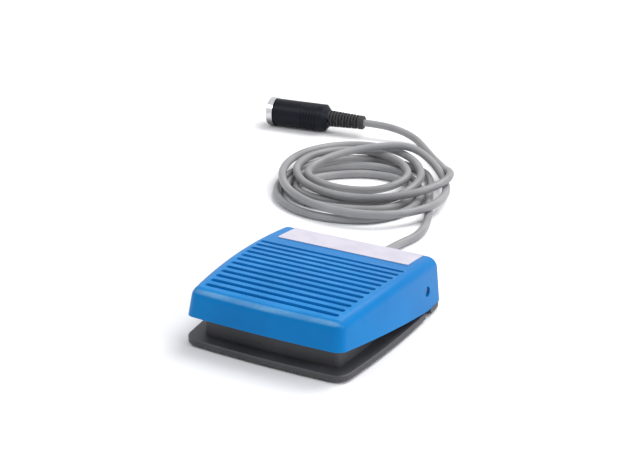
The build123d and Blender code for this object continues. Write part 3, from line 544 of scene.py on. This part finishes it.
def aim_camera():
    """Camera at the picture's viewing angle."""
    azimuth = math.radians(CAMERA_AZIMUTH)
    elevation = math.radians(CAMERA_ELEVATION)
    back = Vector((
        math.sin(azimuth) * math.cos(elevation),
        -math.cos(azimuth) * math.cos(elevation),
        math.sin(elevation),
    ))
    right = Vector((math.cos(azimuth), math.sin(azimuth), 0.0))
    turn = Matrix((right, back.cross(right), back)).transposed()
    lens = bpy.data.cameras.new("camera")
    lens.lens = CAMERA_LENS
    lens.sensor_width = CAMERA_SENSOR
    lens.sensor_fit = "HORIZONTAL"
    lens.clip_start = 0.01
    camera = bpy.data.objects.new("camera", lens)
    stand = Vector(CAMERA_TARGET) + back * CAMERA_DISTANCE
    camera.matrix_world = Matrix.Translation(stand) @ turn.to_4x4()
    bpy.context.scene.collection.objects.link(camera)
    bpy.context.scene.camera = camera


def soft_lamp(name, place, target, width, power, colour):
    """Square lamp that faces a target."""
    lamp = bpy.data.lights.new(name, "AREA")
    lamp.shape = "SQUARE"
    lamp.size = width
    lamp.energy = power
    lamp.color = colour
    item = bpy.data.objects.new(name, lamp)
    item.location = place
    back = Vector(place) - Vector(target)
    item.rotation_euler = back.to_track_quat("Z", "Y").to_euler()
    bpy.context.scene.collection.objects.link(item)


def light_room():
    """Pale room: even light from the world, a large lamp behind and above, two weaker ones.

    What the camera sees of the world, straight or in gloss or glass, is white.
    """
    world = bpy.data.worlds.new("room")
    bpy.context.scene.world = world
    world.use_nodes = True
    sheet = Sheet(world.node_tree)
    seen = sheet.node("ShaderNodeLightPath", {}, {}, "Is Camera Ray")
    glossy = sheet.node("ShaderNodeLightPath", {}, {}, "Is Glossy Ray")
    through = sheet.node("ShaderNodeLightPath", {}, {}, "Is Transmission Ray")
    white = seen.larger(glossy).larger(through)
    colour = sheet.blend(white, WORLD_COLOUR, WHITE)
    strength = WORLD_STRENGTH + (1.0 - WORLD_STRENGTH) * white
    back = sheet.node("ShaderNodeBackground", {}, {"Color": colour, "Strength": strength})
    output = sheet.tree.nodes.new("ShaderNodeOutputWorld")
    sheet.tree.links.new(back.socket, output.inputs[0])
    for lamp in LAMPS:
        soft_lamp(*lamp)


def lay_floor():
    """Plain pale floor that keeps the object's shadow."""
    half = FLOOR_HALF
    corners = [(-half, -half, 0), (half, -half, 0), (half, half, 0), (-half, half, 0)]
    mesh = bpy.data.meshes.new("floor")
    mesh.from_pydata(corners, [], [(0, 1, 2, 3)])
    floor = bpy.data.objects.new("floor", mesh)
    bpy.context.scene.collection.objects.link(floor)
    finish = Finish("floor_white", Roughness=0.9)
    cloud = finish.noise(finish.place(), FLOOR_CLOUD_MM)
    finish.set("Base Color", finish.blend(cloud, shade(247, 247, 249), shade(250, 250, 251)))
    finish.dress(floor)


aim_camera()

# The lead runs in where the coil's first point would be, so that point is left out.
cord = curve_through("cord", CORD_LEAD + coil_points()[1:] + PLUG_LEAD, CORD_R)
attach(cord, "base")
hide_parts("cord_lead", "cord_coil", "plug_lead")

pedal_blue().dress(nodes["pedal_shell"])
plate_film().dress(nodes["label_plate"])
base_black().dress(nodes["base_housing"])
rubber("foot_rubber", shade(40, 40, 42), shade(84, 82, 80)).dress(nodes["rubber_feet"])
rubber("gland_rubber", shade(44, 44, 47), shade(90, 90, 92)).dress(nodes["cord_gland"])
rubber("boot_rubber", shade(36, 36, 38), shade(86, 86, 90)).dress(nodes["plug_boot"])
zinc = drawn_metal("bright_zinc", shade(196, 197, 200), shade(150, 150, 152), 0.26, (0.1, 1.0, 1.0))
zinc.dress(nodes["switch_screws"], nodes["lever_pin"])
sprung = drawn_metal(
    "spring_steel", shade(176, 176, 178), shade(120, 118, 116), 0.3, (1.0, 1.0, 0.2)
)
sprung.dress(return_springs(), nodes["switch_lever"], nodes["cord_clamp"], nodes["clamp_screws"])
drawn_metal("brass", shade(214, 182, 108), shade(158, 128, 72), 0.24, (1.0, 1.0, 0.15)).dress(
    nodes["switch_terminals"], nodes["plug_contacts"]
)
nickel().dress(nodes["plug_shell"])
pin_steel().dress(nodes["hinge_pin_left"], nodes["hinge_pin_right"])
switch_black = moulded(
    "switch_black", shade(40, 40, 42), shade(32, 32, 34), shade(90, 90, 92), 0.5, 0.6, 0.01
)
switch_black.dress(nodes["switch_case"], nodes["switch_cover"])
plunger_red = moulded(
    "plunger_red", shade(190, 46, 38), shade(170, 38, 32), shade(220, 120, 110), 0.35, 0.5, 0.005
)
plunger_red.dress(nodes["switch_plunger"])
plug_black = moulded(
    "plug_black",
    shade(18, 18, 30),
    shade(13, 13, 24),
    shade(62, 62, 74),
    0.38,
    0.5,
    0.012,
    Specular_IOR_Level=0.14,
)
plug_black.dress(nodes["plug_barrel"])
insert_black = moulded(
    "insert_black", shade(34, 34, 36), shade(28, 28, 30), shade(80, 80, 84), 0.4, 0.6, 0.008
)
insert_black.dress(nodes["plug_insert"])
cord_grey().dress(cord, nodes["cord_inner"])
wire_sheath().dress(nodes["inner_wires"])

lay_floor()
light_room()
bpy.context.scene.view_settings.view_transform = "Standard"
